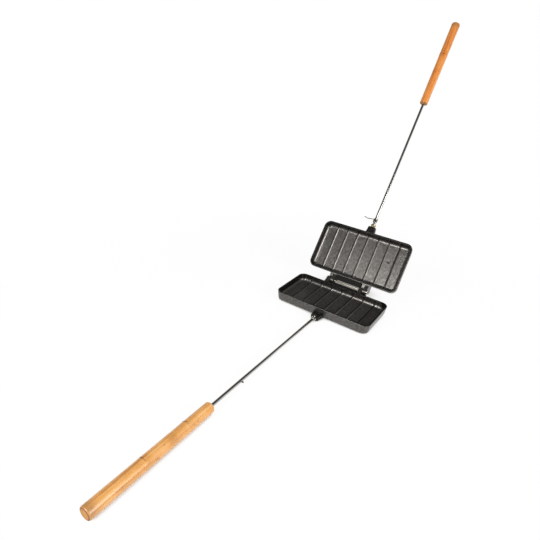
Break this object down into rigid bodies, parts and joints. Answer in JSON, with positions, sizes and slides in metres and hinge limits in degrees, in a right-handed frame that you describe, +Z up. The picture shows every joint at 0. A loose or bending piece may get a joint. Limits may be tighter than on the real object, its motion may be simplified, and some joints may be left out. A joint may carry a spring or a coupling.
{
  "type": "pie iron",
  "caption": "Hinged cast-iron pie iron with two ribbed trays that close on bread, long steel rods, cane handles and a wire latch.",
  "frame": {"origin": "middle of the lower plate's flat back, where the open iron stands", "axes": "+Z up; -Y along the lower rod towards its handle; X along the hinge pin, whose head is at -X"},
  "size_m": [0.2218, 1.1241, 0.5972],
  "materials": {
    "cast_iron": "seasoned, satin, fine casting grain",
    "rod_steel": "drawn, smooth",
    "bright_steel": "zinc plated, bright",
    "yellow_plated_steel": "yellow passivated zinc",
    "black_steel": "black oxide",
    "brown_steel": "oxidised brown",
    "cane": "smooth cane, clear lacquer"
  },
  "bodies": {
    "lower_half": {"lower_plate": "cast_iron", "hinge_pin": "bright_steel", "hinge_washer": "bright_steel", "hinge_split_pin": "bright_steel", "lower_rod": "rod_steel", "lower_lock_nut": "bright_steel", "lower_set_screw": "black_steel", "lower_handle": "cane", "rod_stop_pin": "brown_steel"},
    "upper_half": {"upper_plate": "cast_iron", "upper_rod": "rod_steel", "upper_lock_nut": "yellow_plated_steel", "latch_washer": "yellow_plated_steel", "upper_set_screw": "black_steel", "upper_handle": "cane"},
    "latch": {"latch_hook": "bright_steel"}
  },
  "joints": [
    {"name": "hinge", "type": "hinge", "parent": "lower_half", "child": "upper_half", "pos_m": [0, 0.0765, 0.0222], "axis": [1, 0, 0], "range_deg": [0, 125]},
    {"name": "latch_swivel", "type": "hinge", "parent": "upper_half", "child": "latch", "pos_m": [0, 0.1872, 0.15369], "axis": [0, 0.5672, 0.8236], "range_deg": [-220, 120]}
  ]
}
